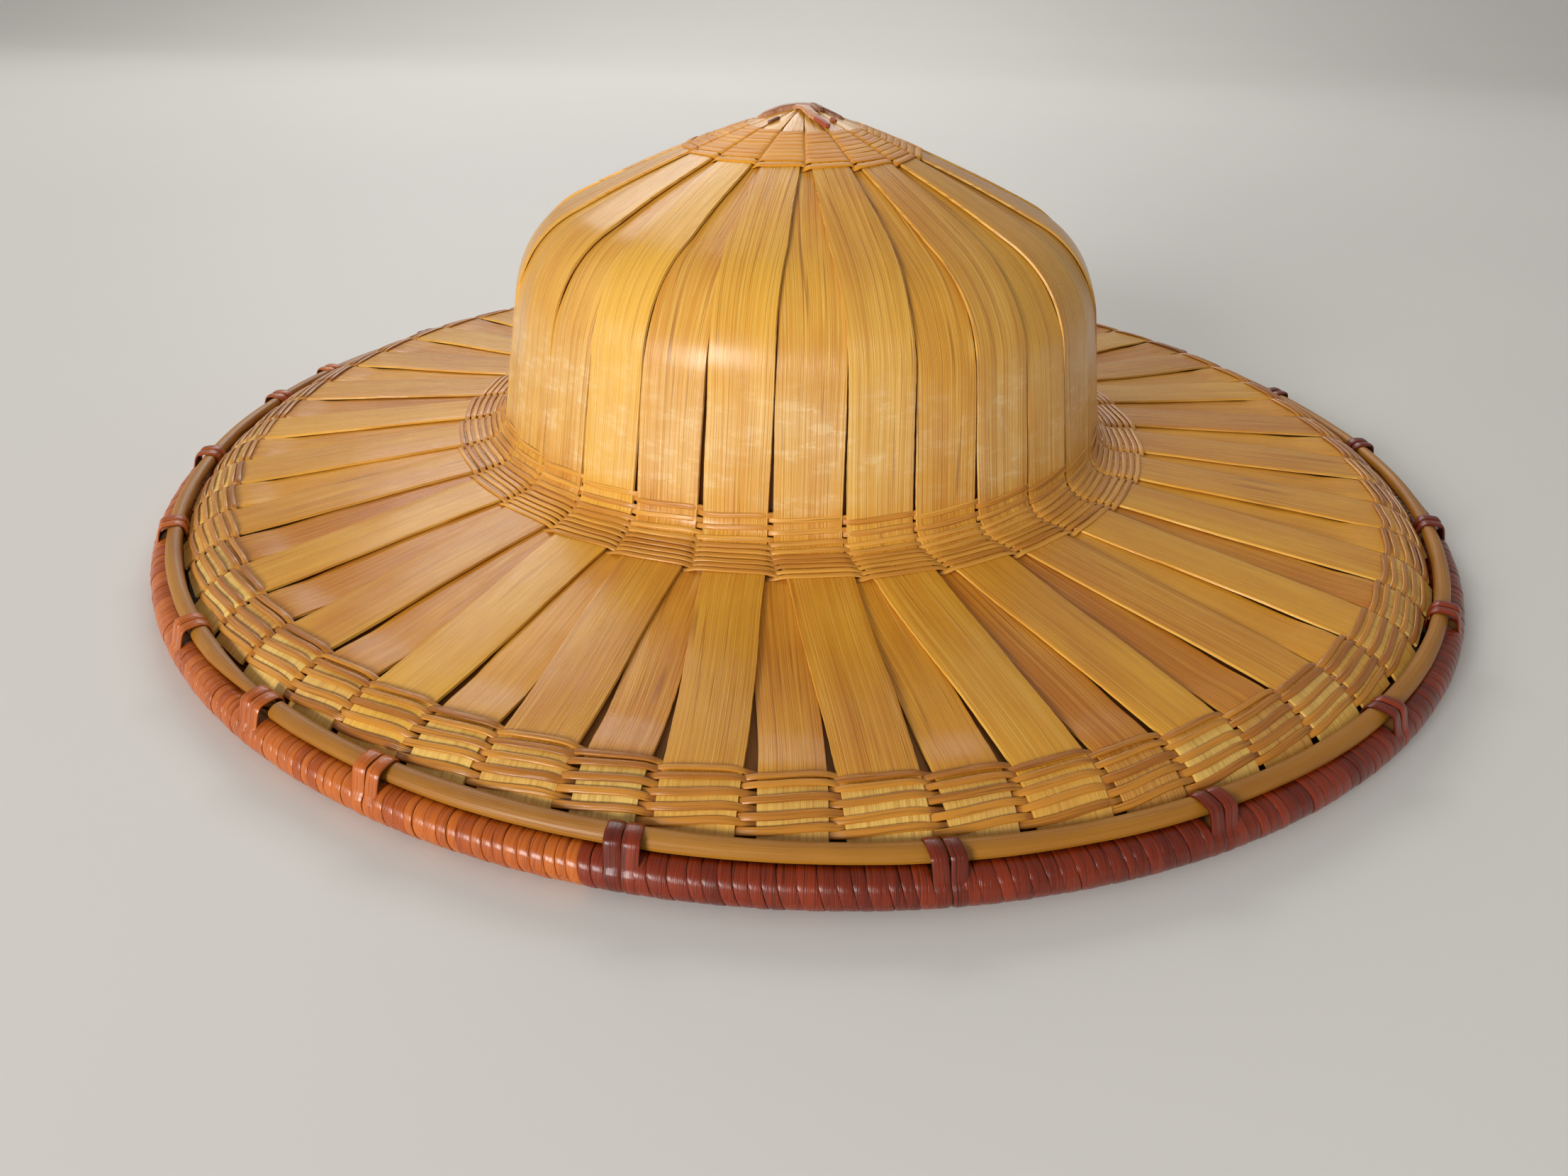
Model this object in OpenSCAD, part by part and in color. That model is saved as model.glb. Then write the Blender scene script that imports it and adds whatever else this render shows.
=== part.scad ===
// Woven bamboo hat: domed crown with a pointed tip, wide sloping brim, bound rim.
// Millimetres, +Z up. The rim rests on z = 0 and the crown axis is the Z axis.

/* [Overall size] */
// Outside diameter over the wrapped rim
rim_diameter = 400; // [360:1:440]
// Height of the strip surface at the tip
tip_height = 115.8; // [100:0.1:130]

/* [Crown shape] */
// Slope of the strips at the tip, degrees below level
tip_slope = 16; // [10:0.5:24]
// Radius inside which the tie over the tip lies flat
tip_flat = 4.5; // [3:0.1:6]
// Radius of the shallow dome under the tip
dome_radius = 430; // [300:5:600]
// Slope where the dome meets the shoulder
shoulder_start = 26; // [20:0.5:32]
// Radius of the rounded shoulder
shoulder_radius = 35.5; // [25:0.5:50]
// Slope of the crown wall
wall_slope = 79.5; // [74:0.5:88]
// Length of the straight crown wall
wall_length = 36; // [20:0.5:50]

/* [Brim shape] */
// Radius of the hollow corner between crown and brim
corner_radius = 8; // [5:0.5:15]
// Slope of the flat brim
brim_slope = 4.6; // [0:0.1:15]
// Length of the flat brim, measured along the strips
brim_length = 73.8; // [50:0.1:100]
// Radius of the turned-down edge
edge_radius = 20; // [12:0.5:40]
// Slope at the strip ends
edge_slope = 42.6; // [20:0.1:60]
// Straight length past the turned-down edge
edge_tail = 3.3; // [0:0.1:6]

/* [Bamboo strips] */
// Number of outer strips round the crown, half of them on top at the tip
strip_count = 32; // [24:4:40]
// Thickness of a strip
strip_t = 0.9; // [0.6:0.05:1.4]
// Free space between neighbouring layers
layer_gap = 0.1; // [0.05:0.05:0.4]
// Width of an outer strip
outer_w = 16.2; // [12:0.1:18]
// Width of an inserted strip
insert_w = 14.4; // [10:0.1:17]
// Width of a lining strip, seen through the gaps of the brim
lining_w = 9.8; // [6:0.1:12]
// Width of a strip at the edge of the tip weaving
tip_w = 10.6; // [6:0.1:13]
// Turn of the crown strips about the axis
crown_phase = 13.2; // [0:0.1:22.5]
// Turn of the brim strips about the axis
brim_phase = 16.7; // [0:0.1:22.5]
// Lean of a brim strip away from the radial line
brim_lean = 2.9; // [0:0.1:6]

/* [Weavers] */
// Width of a fine weaver at the tip
tip_weaver_w = 2; // [1:0.1:3]
// Number of fine rows at the tip
tip_rows = 8; // [4:1:10]
// Width of a waist weaver
waist_weaver_w = 2.0; // [1.2:0.1:3]
// Width of a brim edge weaver
edge_weaver_w = 1.9; // [1.2:0.1:3]
// Thickness of every weaver
weaver_t = 0.8; // [0.5:0.05:1.2]

/* [Rim] */
// Radius of the finished, wrapped hoop
wrap_r = 4.5; // [3:0.1:7]
// Thickness of the rattan peel round the hoop
peel_t = 0.8; // [0.4:0.05:1.2]
// Width of the bamboo hoop laid on the strip ends
top_hoop_w = 4.0; // [3:0.1:8]
// Thickness of that hoop
top_hoop_t = 2.9; // [1.5:0.1:4]
// Width of one turn of a lashing
lash_w = 3.2; // [1.5:0.1:4]
// First angle of the orange peel
tan_from = 156; // [90:1:200]
// Last angle of the orange peel, where the dark peel starts
tan_to = 258.5; // [220:0.5:300]

/* [Hidden] */
$fn = 72;

bamboo = [0.83, 0.62, 0.30];
bamboo_dark = [0.74, 0.50, 0.23];
bamboo_pale = [0.88, 0.74, 0.44];
weaver_brown = [0.76, 0.47, 0.18];
peel_dark = [0.42, 0.15, 0.10];
peel_tan = [0.78, 0.40, 0.16];

pitch = 360 / strip_count;              // one crown strip
step = strip_t + layer_gap;             // one layer down
hoop_R = rim_diameter / 2 - wrap_r;     // centre line of the wrapped hoop

// ---- the r-z line of the outer strip surface, walked as arcs and straights ----
// each piece: [slope at start, slope at end, radius (0 = straight), length, steps]
function arc(a0, a1, r, n) = [a0, a1, r, abs(a1 - a0) * r * PI / 180, n];
line_pieces = [
  arc(tip_slope, shoulder_start, dome_radius, 3),
  arc(shoulder_start, wall_slope, shoulder_radius, 7),
  [wall_slope, wall_slope, 0, wall_length, 1],
  arc(wall_slope, brim_slope, corner_radius, 6),
  [brim_slope, brim_slope, 0, brim_length, 1],
  arc(brim_slope, edge_slope, edge_radius, 4),
  [edge_slope, edge_slope, 0, edge_tail, 1]];

// point [r, z, slope] a distance u along one piece that starts at [r, z]
function along(p, u, r, z) =
  p[2] == 0 ? [r + u * cos(p[0]), z - u * sin(p[0]), p[0]]
  : let (k = p[1] > p[0] ? 1 : -1, a = p[0] + k * u / p[2] * 180 / PI)
    [r + k * p[2] * (sin(a) - sin(p[0])), z - k * p[2] * (cos(p[0]) - cos(a)), a];
function walk(s, i = 0, r = 0, z = tip_height) =
  let (p = line_pieces[i])
  (s <= p[3] + 1e-6 || i == len(line_pieces) - 1) ? along(p, s, r, z)
  : let (e = along(p, p[3], r, z)) walk(s - p[3], i + 1, e[0], e[1]);
function run(i) = i <= 0 ? 0 : line_pieces[i - 1][3] + run(i - 1);
// the same point moved outward by d
function off(q, d) = [q[0] + d * sin(q[2]), q[1] + d * cos(q[2])];

s_shoulder = run(1);
s_wall = run(2);
s_corner = run(3);
s_brim = run(4);
s_edge = run(5);
s_end = run(7);
s_split = (s_corner + s_brim) / 2;      // crown and brim strips meet under the waist rows

function stations(a, b) = concat([a],
  [for (i = [0:len(line_pieces) - 1], k = [0:line_pieces[i][4] - 1])
     let (s = run(i) + k * line_pieces[i][3] / line_pieces[i][4])
     if (s > a + 0.4 && s < b - 0.4) s], [b]);

// closed r-z outline of a strip from distance a to b, whose top lies d under the line
function strip_outline(a, b, d) =
  let (st = stations(a, b), n = len(st) - 1)
  concat([for (i = [0:n]) off(walk(st[i]), -d)],
         [for (i = [n:-1:0]) off(walk(st[i]), -d - strip_t)]);

module strip(a, b, d, w)
  rotate([90, 0, 0]) linear_extrude(height = w, center = true)
    polygon(strip_outline(a, b, d));

// plan outline of a crown strip: narrow at the tip, full width past the shoulder
module crown_plan(w)
  linear_extrude(height = 160)
    polygon([[2, -0.3], [36, -tip_w / 2], [66, -w / 2], [120, -w / 2],
             [120, w / 2], [66, w / 2], [36, tip_w / 2], [2, 0.3]]);

module crown_ring(first, every, a, d, w)
  for (t = [first:every:first + 359])
    rotate([0, 0, t]) intersection() { strip(a, s_split - 0.1, d, w + 2); crown_plan(w); }

// brim strips lean about a point where the flat brim ends
lean_R = walk(s_edge)[0];
module brim_ring(first, every, d, w, b, a = s_split + 0.1)
  for (t = [first:every:first + 359])
    rotate([0, 0, t]) translate([lean_R, 0, 0]) rotate([0, 0, brim_lean])
      translate([-lean_R, 0, 0]) strip(a, b, d, w);

// ---- weavers: short straps bowed over one strip each ----
module strap(s, t, span, w, thick, lift)
  rotate([0, 0, t - span / 2]) rotate_extrude(angle = span)
    translate(off(walk(s), lift)) rotate(-walk(s)[2])
      polygon([[-w / 2, 0], [-w / 2, thick * 0.55], [-w * 0.28, thick],
               [w * 0.28, thick], [w / 2, thick * 0.55], [w / 2, 0]]);
// one row; every second strap sits a quarter width further down the surface
module weave_row(s, first, every, span, w, lift)
  for (k = [0:round(360 / every) - 1])
    strap(s + (k % 2) * w * 0.25, first + k * every, span, w, weaver_t, lift);

// ---- crown ----
module crown_strips_over() color(bamboo)
  crown_ring(crown_phase, 2 * pitch, 5, 0, outer_w);
module crown_strips_under() color(bamboo_dark)
  crown_ring(crown_phase - pitch, 2 * pitch, 9, step, outer_w);
module crown_strips_inner() color(bamboo_pale)
  crown_ring(crown_phase - pitch / 2, pitch, s_shoulder + 12, 2 * step, insert_w);

// ---- brim ----
// notches in the strip ends where the lashings pass
module lashing_slots(grow)
  for (t = lashing_at) rotate([0, 0, t])
    translate([slot_R - slot_t / 2 - grow, -lash_w - 0.15 - grow, -1])
      cube([6, 2 * lash_w + 0.3 + 2 * grow, 14]);
module brim_strips_over() color(bamboo)
  difference() { brim_ring(brim_phase, 2 * pitch, 0, outer_w, s_end); lashing_slots(0.1); }
module brim_strips_under() color(bamboo_dark)
  difference() { brim_ring(brim_phase - pitch, 2 * pitch, 0, outer_w, s_end); lashing_slots(0.1); }
module brim_strips_inserted() color(bamboo_pale)
  brim_ring(brim_phase - pitch / 2, pitch, step, insert_w, s_end - 2.8);
module brim_lining() color(bamboo_dark)
  brim_ring(brim_phase - pitch / 4, pitch / 2, 2 * step, lining_w, s_end - 3.8, s_brim + 2.5);

// ---- tip ----
tip_first = 19.0;                       // distance of the first fine row from the tip
tip_step = tip_weaver_w * 1.04;
module tip_weave_fine() color(weaver_brown)
  for (i = [0:tip_rows - 1])
    weave_row(tip_first + i * tip_step, crown_phase, 2 * pitch, 2 * pitch - 3.4,
              tip_weaver_w * 0.8, 0.45);
module tip_weave_edge() color(weaver_brown)
  weave_row(tip_first + tip_rows * tip_step + 0.3, crown_phase, 2 * pitch,
            2 * pitch - 2.2, tip_weaver_w * 1.1, 0.5);
// height of the strips x away from the axis; the tip itself is flat between their ends
function tip_z(x) = tip_height - max(abs(x), tip_flat) * tan(tip_slope);
// peel laid over the tip along the points xs, its top `rise` above the strips
module tie(turn, rise, w, xs)
  rotate([0, 0, turn]) rotate([90, 0, 0]) linear_extrude(height = w, center = true)
    polygon(concat([for (x = xs) [x, tip_z(x) + rise]],
                   [for (i = [len(xs) - 1:-1:0]) [xs[i], tip_z(xs[i]) + rise - 0.8]]));
module tip_tie_lower() color(peel_dark) tie(-4, 0.85, 3.2, [-13.5, -tip_flat, tip_flat, 12]);
module tip_tie_upper() color(peel_dark) tie(-60, 1.7, 2.8, [-2.6, tip_flat, 10.5]);
// binding round the lower peel, a flattened half ring standing on the strips
module tip_loop() color(peel_tan)
  translate([4.5, 0, tip_z(0) + 0.05]) rotate([90, 0, 90])
    linear_extrude(height = 2, center = true)
      polygon(concat([for (a = [0:20:180]) [2.8 * cos(a), 1.7 * sin(a)]],
                     [for (a = [180:-20:0]) [2.05 * cos(a), 1.15 * sin(a)]]));

// ---- waist ----
// two open rows on the foot of the wall, then seven tight rows through the corner
waist_tight = waist_weaver_w * 1.045;
waist_first = s_corner - 1.2;
function waist_s(i) = i == 0 ? waist_first
  : i == 1 ? waist_first + waist_tight * 1.55
  : waist_first + waist_tight * (i + 0.95);
function waist_turn(s) =                // the rows follow the strips as they begin to lean
  crown_phase + (brim_phase - crown_phase) * 0.5 * (s - s_corner) / (s_brim - s_corner);
module waist_row(i) color(weaver_brown)
  weave_row(waist_s(i), waist_turn(waist_s(i)), pitch, pitch - 1.3, waist_weaver_w * 0.85,
            i < 4 ? 0.6 : 0.4);
module waist_row_1() waist_row(0);
module waist_row_2() waist_row(1);
module waist_row_3() waist_row(2);
module waist_row_4() waist_row(3);
module waist_row_5() waist_row(4);
module waist_row_6() waist_row(5);
module waist_row_7() waist_row(6);
module waist_row_8() waist_row(7);
module waist_row_9() waist_row(8);

// ---- brim edge: two tight rows over every strip, three rows over every second strip ----
module edge_tight(i) color(weaver_brown)
  weave_row(s_edge + 0.9 + i * edge_weaver_w * 1.25, brim_phase, pitch / 2, pitch / 2 - 0.8,
            edge_weaver_w * 0.85, 0.35);
module edge_open(i) color(weaver_brown)
  for (k = [0:strip_count - 1])
    strap(s_edge + 6.2 + i * 3.1, brim_phase + (k + (i % 2) / 2) * pitch,
          pitch / 2 + 0.7, edge_weaver_w * 0.9, weaver_t, 0.4);
module edge_row_1() edge_tight(0);
module edge_row_2() edge_tight(1);
module edge_row_3() edge_open(0);
module edge_row_4() edge_open(1);
module edge_row_5() edge_open(2);

// ---- rim ----
top_hoop_R = hoop_R - 4.4;              // inner edge of the top hoop
top_hoop_z = 2 * wrap_r + 0.25;         // its flat underside
splice_at = 238;                        // where the ends of the top hoop lap
// section of a bamboo hoop: flat below, eased towards its crown above
module hoop_section(w, t)
  polygon([[-w / 2, 0], [w / 2, 0], [w / 2, 0.6 * t], [w * 0.34, 0.88 * t], [w * 0.12, t],
           [-w * 0.12, t], [-w * 0.34, 0.88 * t], [-w / 2, 0.6 * t]]);
module top_hoop() color(bamboo)
  rotate([0, 0, splice_at]) rotate_extrude(angle = 350)
    translate([top_hoop_R + top_hoop_w / 2, top_hoop_z]) hoop_section(top_hoop_w, top_hoop_t);
module top_hoop_splice() color(bamboo_pale)
  rotate([0, 0, splice_at - 9.8]) rotate_extrude(angle = 9.6)
    translate([top_hoop_R + top_hoop_w / 2 - 0.7, top_hoop_z])
      hoop_section(top_hoop_w - 1.4, top_hoop_t - 0.4);
module lower_hoop() color(bamboo)
  rotate_extrude() translate([hoop_R - 7.3, 2.8])
    polygon([[-1.9, 2.2], [1.9, 2.2], [1.9, 0.9], [1.1, 0.1], [-1.1, 0.1], [-1.9, 0.9]]);
module hoop_core() color(bamboo_pale)
  rotate_extrude() translate([hoop_R, wrap_r]) circle(r = wrap_r - peel_t - 0.05);

// hand-tied lashings: the spacing wanders, so it is listed going round from the front
lash_gaps = [17.6, 16.8, 17.6, 16.5, 16.3, 18.1, 15.5, 16.1, 16.3, 16.0, 16.2, 15.9,
             16.1, 16.3, 15.9, 16.2, 9.2, 15.4, 14.9, 17.5, 12.1, 11.1];
lash_first = 261;
function lash_angle(i) = i == 0 ? lash_first : lash_angle(i - 1) + lash_gaps[i - 1];
lashing_at = [for (i = [0:len(lash_gaps)]) lash_angle(i)];
lash_half = asin((lash_w + 0.35) / hoop_R);
function fold(t) = t >= 360 ? fold(t - 360) : t;
function is_tan(t) = fold(t) > tan_from && fold(t) < tan_to;

// peel tube between two angles
module peel(a, b)
  if (b - a > 0.3) rotate([0, 0, a]) rotate_extrude(angle = b - a)
    translate([hoop_R, wrap_r]) difference() {
      circle(r = wrap_r);
      circle(r = wrap_r - peel_t);
    }
n_lash = len(lashing_at);
module peels(want_tan)
  for (i = [0:n_lash - 1]) {
    a = lashing_at[i] + lash_half;
    b = (i == n_lash - 1 ? lash_first + 360 : lashing_at[i + 1]) - lash_half;
    m = fold((a + b) / 2) < tan_to && fold(b) > tan_to ? b - (fold(b) - tan_to) : b;
    if (is_tan((a + m) / 2) == want_tan) peel(a, m);
    if (m < b && !want_tan) peel(m + 0.1, b);
  }
module wrap_dark() color(peel_dark) peels(false);
module wrap_tan() color(peel_tan) peels(true);

// one lashing: two turns of peel round the wrapped hoop, the top hoop and the lower hoop
slot_R = top_hoop_R - 0.65;             // the inner limb passes down through the strips
slot_t = 0.8;
module lashing_loop()
  polygon([for (q = concat(
      [for (a = [-100:20:60]) [hoop_R + wrap_r * cos(a), wrap_r + wrap_r * sin(a)]],
      [[hoop_R + 0.9, top_hoop_z + top_hoop_t + 0.2], [hoop_R - 0.6, top_hoop_z + top_hoop_t + 0.9],
       [top_hoop_R + 0.8, top_hoop_z + top_hoop_t + 0.9],
       [slot_R - slot_t / 2, top_hoop_z + top_hoop_t - 0.2], [slot_R - slot_t / 2, 6.2],
       [hoop_R - 9.9, 5.8], [hoop_R - 9.9, 2.6], [hoop_R - 8.2, 1.7], [hoop_R - 4.4, 1.2]])) q]);
module lashing_hole()
  polygon([for (q = concat(
      [for (a = [-100:20:60]) [hoop_R + (wrap_r - peel_t) * cos(a),
                               wrap_r + (wrap_r - peel_t) * sin(a)]],
      [[hoop_R + 0.35, top_hoop_z + top_hoop_t - 0.5], [hoop_R - 0.9, top_hoop_z + top_hoop_t + 0.12],
       [top_hoop_R + 1.1, top_hoop_z + top_hoop_t + 0.12],
       [slot_R + slot_t / 2, top_hoop_z + top_hoop_t - 0.6], [slot_R + slot_t / 2, 5.5],
       [hoop_R - 9.2, 5.2], [hoop_R - 9.2, 3.1], [hoop_R - 7.9, 2.4], [hoop_R - 4.2, 1.95]])) q]);
module lashings(want_tan)
  for (t = lashing_at) if (is_tan(t) == want_tan)
    for (k = [-1, 1]) rotate([0, 0, t]) translate([0, k * (lash_w / 2 + 0.1), 0])
      rotate([90, 0, 0]) linear_extrude(height = lash_w, center = true)
        difference() { lashing_loop(); lashing_hole(); }
module lashings_dark() color(peel_dark) lashings(false);
module lashings_tan() color(peel_tan) lashings(true);

crown_strips_over();
crown_strips_under();
crown_strips_inner();
brim_strips_over();
brim_strips_under();
brim_strips_inserted();
brim_lining();
tip_weave_fine();
tip_weave_edge();
tip_tie_lower();
tip_tie_upper();
tip_loop();
waist_row_1();
waist_row_2();
waist_row_3();
waist_row_4();
waist_row_5();
waist_row_6();
waist_row_7();
waist_row_8();
waist_row_9();
edge_row_1();
edge_row_2();
edge_row_3();
edge_row_4();
edge_row_5();
top_hoop();
top_hoop_splice();
lower_hoop();
hoop_core();
wrap_dark();
wrap_tan();
lashings_dark();
lashings_tan();
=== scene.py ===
import math

import bpy
import numpy as np
from mathutils import Matrix, Vector


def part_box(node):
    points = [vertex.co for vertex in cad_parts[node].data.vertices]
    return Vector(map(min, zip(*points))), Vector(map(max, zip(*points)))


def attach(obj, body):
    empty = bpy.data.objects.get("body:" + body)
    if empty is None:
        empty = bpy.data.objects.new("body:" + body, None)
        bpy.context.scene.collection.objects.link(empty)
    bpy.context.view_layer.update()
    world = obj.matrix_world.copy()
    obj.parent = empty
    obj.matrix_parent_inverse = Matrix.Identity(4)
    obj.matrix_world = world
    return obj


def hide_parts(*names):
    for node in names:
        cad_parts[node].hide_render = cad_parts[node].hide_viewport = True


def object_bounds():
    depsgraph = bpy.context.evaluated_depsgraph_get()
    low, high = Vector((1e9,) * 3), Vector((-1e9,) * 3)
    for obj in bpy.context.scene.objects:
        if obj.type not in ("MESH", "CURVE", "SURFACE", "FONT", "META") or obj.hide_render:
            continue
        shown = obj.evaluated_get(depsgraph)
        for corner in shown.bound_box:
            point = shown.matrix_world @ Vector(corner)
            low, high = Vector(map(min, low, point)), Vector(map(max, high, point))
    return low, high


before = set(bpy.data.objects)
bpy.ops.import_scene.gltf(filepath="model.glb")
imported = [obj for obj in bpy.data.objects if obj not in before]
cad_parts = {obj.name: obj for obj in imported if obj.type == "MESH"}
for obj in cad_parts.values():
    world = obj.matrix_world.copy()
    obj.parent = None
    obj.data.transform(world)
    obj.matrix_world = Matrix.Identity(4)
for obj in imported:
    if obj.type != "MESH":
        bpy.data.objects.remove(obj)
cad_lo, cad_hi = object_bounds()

# All shapes below are worked out in millimetres in the CAD frame and written in metres.
MM = 0.001


def cad(node):
    """Lowest and highest corner of a CAD node, in millimetres."""
    lo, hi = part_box(node)
    return np.array(lo) / MM, np.array(hi) / MM


# ------------------------------------------------------------------ sizes from the CAD
CORE_LO, CORE_HI = cad("hoop_core")
_, WRAP_HI = cad("wrap_dark")
TUBE_Z = (CORE_LO[2] + CORE_HI[2]) / 2
TUBE_R = WRAP_HI[2] / 2
HOOP_R = (cad_hi.y - cad_lo.y) / 2 / MM - TUBE_R
TOP_LO, TOP_HI = cad("top_hoop")
TOP_R = (TOP_HI[1] - TOP_LO[1]) / 2
LOW_LO, LOW_HI = cad("lower_hoop")
LOW_R = (LOW_HI[1] - LOW_LO[1]) / 2

# The line of the outer strip surface: slope at start and end, radius, length (mm, degrees).
LINE = [
    (16.0, 26.0, 430.0, None),
    (26.0, 79.5, 35.5, None),
    (79.5, 79.5, None, 36.0),
    (79.5, 4.6, 8.0, None),
    (4.6, 4.6, None, 73.8),
    (4.6, 42.6, 20.0, None),
    (42.6, 42.6, None, 3.3),
]
STEP_S = 0.2
# distance from the tip at which the CAD strips start, and the slope up to there
TIP_START, TIP_SLOPE = 5.0, 16.06
STRIPS = 32
PITCH = 360.0 / STRIPS
CROWN_PHASE = 13.2  # angle of the first top strip
BRIM_TURN = 3.5  # how far the strips have turned at the brim's edge, in degrees
STRIP_T = 0.75
LAYER = 1.0
# widths of the outer, under, inserted and lining strips, and how much fuller some are away from the front
OVER_W, UNDER_W, INSERT_W, LINING_W = 16.4, 16.2, 13.7, 9.8
OUTER_FULLER, INSERT_FULLER = 0.4, 1.5
# what the hand-made hat is off by: crown and tip to the left, the brim up and the hoop down at the back
CROWN_OFF, TIP_OFF = 2.4, 2.2
BACK_RISE, BACK_DROP = 1.4, 1.0
TOP_IN = HOOP_R - 4.4  # inner edge of the top hoop


def trace_line():
    """Tables of distance, radius, height, slope and the distance where each piece starts."""
    tip_z = cad("crown_strips_over")[1][2]
    r, z, s = 0.0, 0.0, 0.0
    rows, starts = [], []
    for a0, a1, radius, length in LINE:
        starts.append(s)
        length = length or abs(a1 - a0) * math.pi / 180 * radius
        n = max(2, int(length / STEP_S))
        for i in range(n):
            a = a0 + (a1 - a0) * i / n
            rows.append((s, r, z, a))
            mid = math.radians(a0 + (a1 - a0) * (i + 0.5) / n)
            r += length / n * math.cos(mid)
            z -= length / n * math.sin(mid)
            s += length / n
    rows.append((s, r, z, LINE[-1][1]))
    starts.append(s)
    t = np.array(rows)
    # the CAD strips start a little way from the tip, so their top tells where the tip is
    t[:, 2] += tip_z + TIP_START * math.sin(math.radians(TIP_SLOPE))
    return t, starts


LINE_T, S_AT = trace_line()
S_SHOULDER, _, S_CORNER, S_BRIM, S_EDGE, _, S_END = S_AT[1:]


def line(s):
    """Radius, height and slope (radians) at distance s along the strip surface."""
    s = np.asarray(s, float)
    return (
        np.interp(s, LINE_T[:, 0], LINE_T[:, 1]),
        np.interp(s, LINE_T[:, 0], LINE_T[:, 2]),
        np.radians(np.interp(s, LINE_T[:, 0], LINE_T[:, 3])),
    )


LEAN_R = float(line(S_EDGE)[0])
LEAN_TAN = math.tan(math.radians(2.9))


def ramp(x, a, b):
    """Smooth step from 0 at a to 1 at b."""
    t = np.clip((np.asarray(x, float) - a) / (b - a), 0, 1)
    return t * t * (3 - 2 * t)


def lean(r):
    """How far the strips have turned about the axis at radius r, in degrees."""
    r = np.asarray(r, float)
    brim = BRIM_TURN - np.degrees((LEAN_R - r) * LEAN_TAN / np.maximum(r, 1))
    return brim * ramp(r, 92, 112)


def wobble(x, seed, wave, amp):
    """Smooth deterministic noise along x, by three sines of unrelated length."""
    x = np.asarray(x, float)
    k = 2 * math.pi / wave
    p = seed * 12.9898
    return amp * (
        np.sin(k * x + p) + 0.6 * np.sin(2.13 * k * x + 1.7 * p) + 0.4 * np.sin(4.31 * k * x + 2.9 * p)
    ) / 2.0


def pick(seed, n=0):
    """A repeatable number from 0 to 1 for a seed."""
    return (math.sin(seed * 78.233 + n * 37.719 + 1.234) * 43758.5453) % 1.0


def from_front(deg):
    """Angle between a direction and the front of the hat, in degrees."""
    return abs((deg - 90) % 360 - 180)


def by_hand(v):
    """The crown sits a little to one side, its tip a little more, and the brim is fuller at the back."""
    r = np.hypot(v[:, 0], v[:, 1])
    out = v.copy()
    back = ramp(v[:, 1] / np.maximum(r, 1), -0.1, 0.6)
    out[:, 2] += back * BACK_RISE * ramp(r, 125, 170) * (1 - ramp(r, 184, 190))
    out[:, 2] -= back * BACK_DROP * ramp(r, 186, 191) * ramp(v[:, 2], 9, 11)
    out[:, 0] -= CROWN_OFF * (1 - ramp(r, 112, 174)) + TIP_OFF * ramp(v[:, 2], 66, 116)
    return out


# ------------------------------------------------------------------ mesh building
class Builder:
    """Collects grids of points into one mesh, with what the materials need at each vertex."""

    def __init__(self):
        self.verts, self.faces, self.grain, self.look, self.n = [], [], [], [], 0

    def tube(self, rings, across, along, seed, look, closed=False, caps=True):
        """rings: (n, m, 3) closed sections; across (n, m), along (n,) in mm; look: 3 values or (n, m, 3)."""
        n, m = rings.shape[:2]
        base = self.n
        self.verts.append(rings.reshape(-1, 3))
        g = np.empty((n, m, 3))
        g[..., 0] = across
        g[..., 1] = np.asarray(along)[:, None]
        g[..., 2] = seed
        self.grain.append(g.reshape(-1, 3))
        lk = np.empty((n, m, 3))
        lk[...] = look
        self.look.append(lk.reshape(-1, 3))
        i = np.arange(n if closed else n - 1)[:, None]
        j = np.arange(m)[None, :]
        i2, j2 = (i + 1) % n, (j + 1) % m
        q = np.stack([i * m + j, i2 * m + j, i2 * m + j2, i * m + j2], -1).reshape(-1, 4) + base
        self.faces += q.tolist()
        if caps and not closed:
            self.faces.append([base + k for k in range(m)])
            self.faces.append([base + (n - 1) * m + k for k in reversed(range(m))])
        self.n += n * m

    def make(self, name, nodes, slot, material, sharp=0.9):
        """Turn what was collected into one piece that stands for the CAD nodes."""
        me = bpy.data.meshes.new(name)
        me.from_pydata((by_hand(np.concatenate(self.verts)) * MM).tolist(), [], self.faces)
        for key, rows in (("grain", self.grain), ("look", self.look)):
            a = me.attributes.new(key, "FLOAT_VECTOR", "POINT")
            a.data.foreach_set("vector", np.concatenate(rows).astype(np.float32).ravel())
        me.polygons.foreach_set("use_smooth", [True] * len(me.polygons))
        me.update()
        ob = bpy.data.objects.new(name, me)
        bpy.context.scene.collection.objects.link(ob)
        me.materials.append(material)
        me.set_sharp_from_angle(angle=sharp)
        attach(ob, "root")
        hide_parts(*nodes)
        return ob


def frames(points, up):
    """Unit sideways and outward vectors along a path whose outward side is near up."""
    t = np.gradient(points, axis=0)
    t /= np.linalg.norm(t, axis=1, keepdims=True)
    w = np.cross(up, t)
    w /= np.linalg.norm(w, axis=1, keepdims=True)
    return w, np.cross(t, w)


def loop_frames(points, up):
    """Sideways and outward vectors of a closed path, taken across its join as well."""
    ext = np.concatenate([points[-1:], points, points[:1]])
    w, n = frames(ext, np.concatenate([up[-1:], up, up[:1]]))
    return w[1:-1], n[1:-1]


def place(points, section_w, section_n, w, n):
    """Sections of sideways and outward offsets set on points, in the directions w and n."""
    return points[:, None, :] + section_w[..., None] * w[:, None, :] + section_n[..., None] * n[:, None, :]


def sweep(points, up, section_w, section_n):
    """Sections (n, m) of sideways and outward offsets along points."""
    w, n = frames(points, up)
    return place(points, section_w, section_n, w, n)


def polar(r, deg, z):
    """Points at radius r, angle deg and height z."""
    a = np.radians(deg)
    return np.stack([r * np.cos(a), r * np.sin(a), z + 0 * a], -1)


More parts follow.
